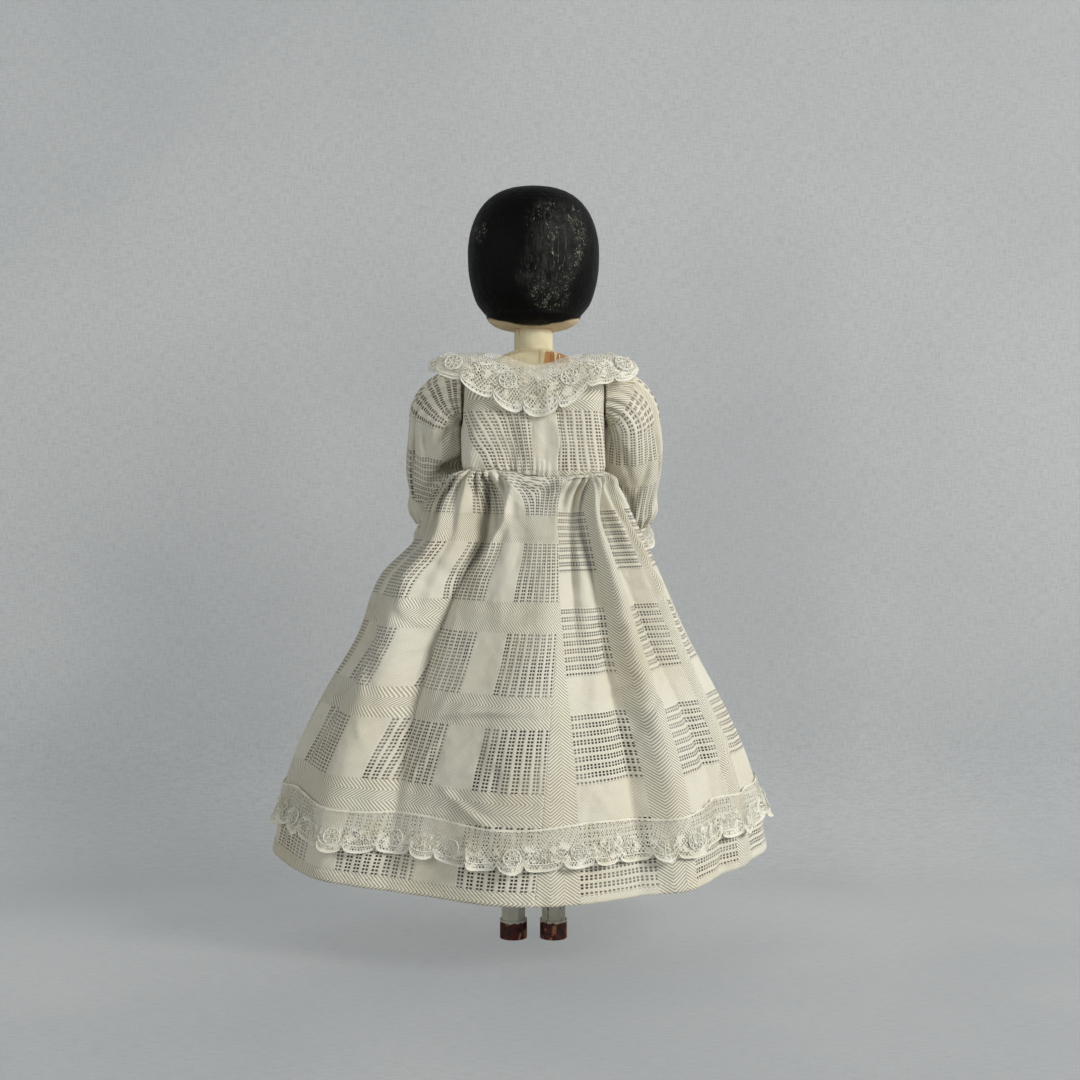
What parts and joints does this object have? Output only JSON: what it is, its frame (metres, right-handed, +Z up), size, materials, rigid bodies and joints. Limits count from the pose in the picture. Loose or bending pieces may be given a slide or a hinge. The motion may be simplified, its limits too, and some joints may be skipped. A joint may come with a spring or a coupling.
{
  "type": "jointed wooden doll",
  "caption": "Antique-style peg-jointed wooden doll in a gathered cotton dress with lace collar, cuffs and hem; arms and legs swing on wooden pegs.",
  "frame": {"origin": "on the floor, at the middle of the outline of the dress seen from above", "axes": "+Z up through the head, face towards +Y, the doll's left side towards -X"},
  "size_m": [0.1952, 0.1318, 0.299],
  "materials": {
    "painted_wood": "old worn oil paint over softwood, black hair, dark red shoes",
    "bare_wood": "bare softwood, darkened with age",
    "dress_cotton": "cream cotton with woven openwork checks",
    "lace": "cotton net lace with a scalloped corded edge"
  },
  "bodies": {
    "trunk": {"head_and_torso": "painted_wood", "nose_wedge": "painted_wood", "shoulder_dowel": "bare_wood", "hip_dowel": "bare_wood", "bodice_front": "dress_cotton", "bodice_left_back": "dress_cotton", "bodice_right_back": "dress_cotton", "skirt_left_panel": "dress_cotton", "skirt_right_panel": "dress_cotton", "collar_lace": "lace", "hem_lace": "lace"},
    "left_arm": {"left_upper_arm": "painted_wood", "left_elbow_peg": "bare_wood", "left_sleeve": "dress_cotton", "left_cuff_lace": "lace"},
    "left_hand": {"left_forearm": "painted_wood"},
    "left_leg": {"left_thigh": "painted_wood", "left_knee_peg": "bare_wood"},
    "left_shin": {"left_lower_leg": "painted_wood"},
    "right_arm": {"right_upper_arm": "painted_wood", "right_elbow_peg": "bare_wood", "right_sleeve": "dress_cotton", "right_cuff_lace": "lace"},
    "right_hand": {"right_forearm": "painted_wood"},
    "right_leg": {"right_thigh": "painted_wood", "right_knee_peg": "bare_wood"},
    "right_shin": {"right_lower_leg": "painted_wood"}
  },
  "joints": [
    {"name": "left_shoulder", "type": "hinge", "parent": "trunk", "child": "left_arm", "pos_m": [-0.0318, 0, 0.217], "axis": [1, 0, 0], "range_deg": [0, 80]},
    {"name": "left_elbow", "type": "hinge", "parent": "left_arm", "child": "left_hand", "pos_m": [-0.0318, 0.038, 0.15118], "axis": [1, 0, 0], "range_deg": [0, 90]},
    {"name": "left_hip", "type": "hinge", "parent": "trunk", "child": "left_leg", "pos_m": [-0.0018, 0, 0.146], "axis": [1, 0, 0], "range_deg": [-18, 22]},
    {"name": "left_knee", "type": "hinge", "parent": "left_leg", "child": "left_shin", "pos_m": [-0.0018, 0, 0.076], "axis": [-1, 0, 0], "range_deg": [0, 35]},
    {"name": "right_shoulder", "type": "hinge", "parent": "trunk", "child": "right_arm", "pos_m": [0.0442, 0, 0.217], "axis": [1, 0, 0], "range_deg": [0, 80]},
    {"name": "right_elbow", "type": "hinge", "parent": "right_arm", "child": "right_hand", "pos_m": [0.0442, 0.038, 0.15118], "axis": [1, 0, 0], "range_deg": [0, 90]},
    {"name": "right_hip", "type": "hinge", "parent": "trunk", "child": "right_leg", "pos_m": [0.0142, 0, 0.146], "axis": [1, 0, 0], "range_deg": [-18, 22]},
    {"name": "right_knee", "type": "hinge", "parent": "right_leg", "child": "right_shin", "pos_m": [0.0142, 0, 0.076], "axis": [-1, 0, 0], "range_deg": [0, 35]}
  ]
}
